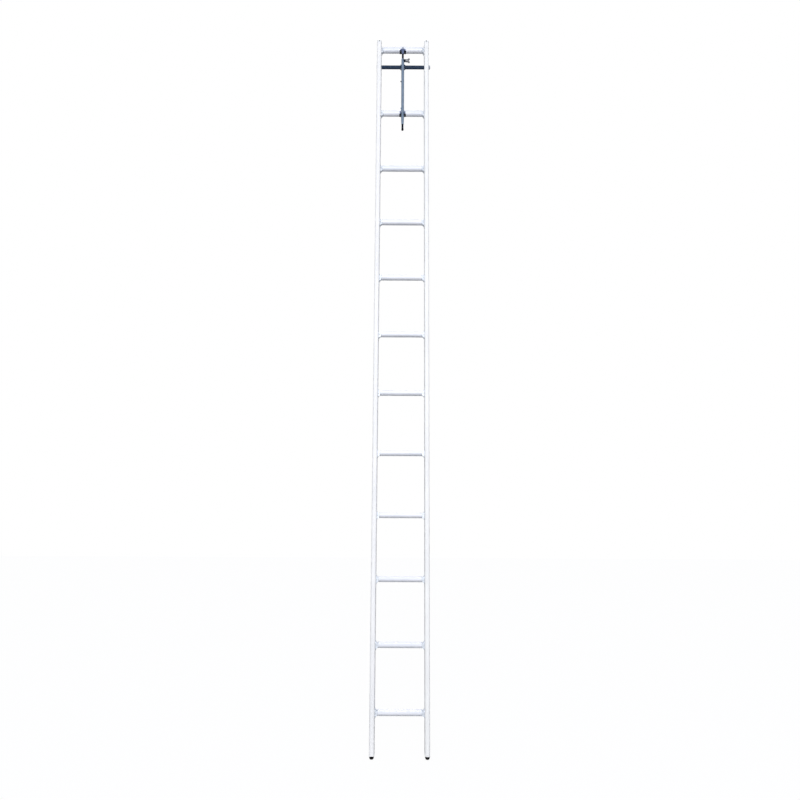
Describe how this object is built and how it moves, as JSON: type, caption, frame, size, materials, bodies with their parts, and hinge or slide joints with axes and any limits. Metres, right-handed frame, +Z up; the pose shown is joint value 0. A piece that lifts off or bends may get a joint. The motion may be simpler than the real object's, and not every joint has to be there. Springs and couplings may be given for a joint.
{
  "type": "hook ladder",
  "caption": "Slim straight aluminium rescue ladder with ribbed rungs, rubber feet and a steel hook that folds out about a cross shaft near the top to hang from a sill.",
  "frame": {"origin": "on the floor, midway between the two feet", "axes": "+X along the rungs, to the right as seen from the hook's side; -Y the side that the hook folds out to; +Z up the rails"},
  "size_m": [0.328, 0.0705, 4.113],
  "materials": {
    "anodised_aluminium": "satin, clear anodised extrusion",
    "cast_aluminium": "tumbled casting",
    "rivet_aluminium": "plain, domed",
    "white_nylon": "moulded, satin",
    "black_rubber": "moulded, matt",
    "black_nylon": "moulded, satin",
    "blue_black_paint": "satin powder coat on steel",
    "slate_paint": "satin powder coat on steel",
    "zinc_steel": "blue-passivated zinc plate",
    "blackened_steel": "oiled black oxide",
    "zinc_casting": "die-cast, tumbled",
    "bronze": "sintered, oiled"
  },
  "bodies": {
    "ladder": {"left_rail": "anodised_aluminium", "right_rail": "anodised_aluminium", "rung_01": "anodised_aluminium", "rung_02": "anodised_aluminium", "rung_03": "anodised_aluminium", "rung_04": "anodised_aluminium", "rung_05": "anodised_aluminium", "rung_06": "anodised_aluminium", "rung_07": "anodised_aluminium", "rung_08": "anodised_aluminium", "rung_09": "anodised_aluminium", "rung_10": "anodised_aluminium", "rung_11": "anodised_aluminium", "top_rung": "anodised_aluminium", "catch_strap": "anodised_aluminium", "cradle_strap": "anodised_aluminium", "ferrules_left": "cast_aluminium", "ferrules_right": "cast_aluminium", "catch_crown": "cast_aluminium", "ferrule_rivets_left": "rivet_aluminium", "ferrule_rivets_right": "rivet_aluminium", "left_cap": "white_nylon", "right_cap": "white_nylon", "left_foot": "black_rubber", "right_foot": "black_rubber", "catch_cheek_left": "black_nylon", "catch_cheek_right": "black_nylon", "cradle_cheek_left": "black_nylon", "cradle_cheek_right": "black_nylon", "spacer_left": "blue_black_paint", "spacer_right": "blue_black_paint", "catch_block": "slate_paint", "cradle_jaws": "slate_paint", "pivot_shaft": "zinc_steel", "shaft_washer": "zinc_steel", "shaft_nut": "zinc_steel", "catch_screws": "zinc_steel", "cradle_screws": "zinc_steel", "strap_screws": "zinc_steel", "rail_sleeves": "zinc_steel", "stop_pin": "zinc_steel", "cap_screws": "blackened_steel"},
    "hook": {"pivot_hub": "blue_black_paint", "hub_bushes": "black_nylon", "hook_tube": "zinc_steel", "clamp_boss": "blackened_steel", "hook_beak": "blackened_steel", "beak_tip": "black_rubber", "beak_rivet": "zinc_steel"},
    "lock_rod": {"lock_rod": "blackened_steel", "thumb_pin": "blackened_steel"},
    "clamp_pad": {"clamp_pad": "bronze"},
    "wing_screw": {"wing_screw": "zinc_casting"}
  },
  "joints": [
    {"name": "hook_fold", "type": "hinge", "parent": "ladder", "child": "hook", "pos_m": [0, 0, 3.948], "axis": [-1, 0, 0], "range_deg": [0, 90]},
    {"name": "lock_slide", "type": "slide", "parent": "hook", "child": "lock_rod", "axis": [0, 0, 1], "range_m": [0, 0.022]},
    {"name": "pad_slide", "type": "slide", "parent": "hook", "child": "clamp_pad", "axis": [1, 0, 0], "range_m": [0, 0.0025]},
    {"name": "wing_turn", "type": "hinge", "parent": "clamp_pad", "child": "wing_screw", "pos_m": [0.0178, -0.029, 3.971], "axis": [1, 0, 0], "range_deg": [0, 720]}
  ],
  "couplings": [
    {"joint": "wing_turn", "follows": "pad_slide", "rad_per_m": 5026.5}
  ]
}
